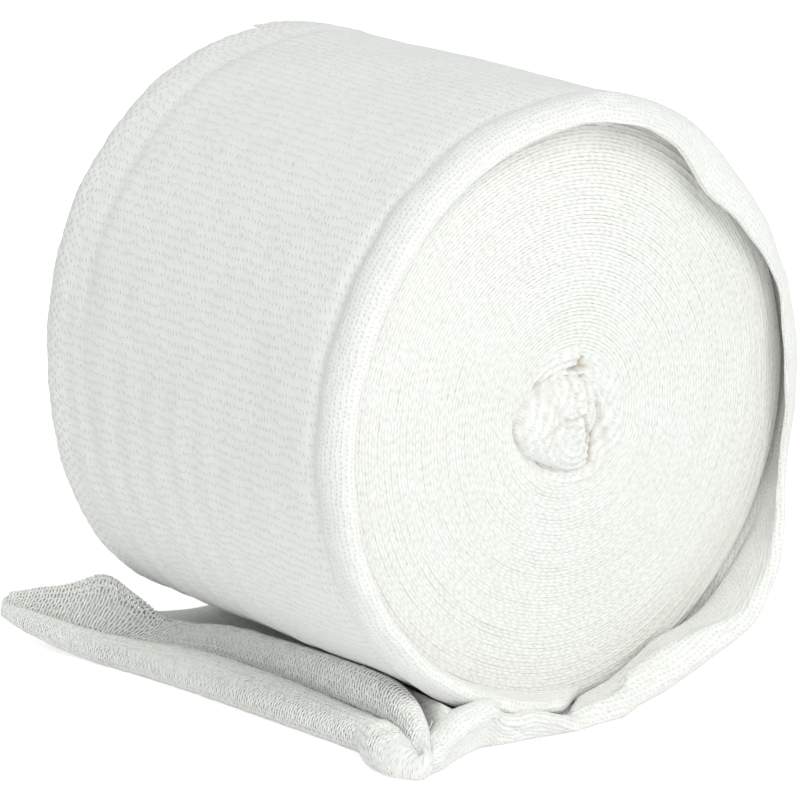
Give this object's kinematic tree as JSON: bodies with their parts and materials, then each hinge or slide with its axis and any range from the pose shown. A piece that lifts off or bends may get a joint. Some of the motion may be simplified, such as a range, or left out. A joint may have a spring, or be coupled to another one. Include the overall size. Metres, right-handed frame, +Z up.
{
  "type": "tubular bandage roll",
  "caption": "Thick roll of white knitted tubular bandage lying on its side, its last turn loose and its cut end lying open on the surface.",
  "frame": {"origin": "on the surface that the roll lies on, below the middle of the roll's axis", "axes": "+Z up, +Y along the roll's axis away from the shown end face, -X towards the loose cut end"},
  "size_m": [0.1461, 0.1469, 0.1512],
  "materials": {
    "wound_jersey": "soft matte cotton jersey, wound in many turns",
    "loose_jersey": "soft matte cotton jersey, single flat tube"
  },
  "bodies": {
    "root": {"roll": "wound_jersey", "loose_end": "loose_jersey"}
  },
  "joints": []
}
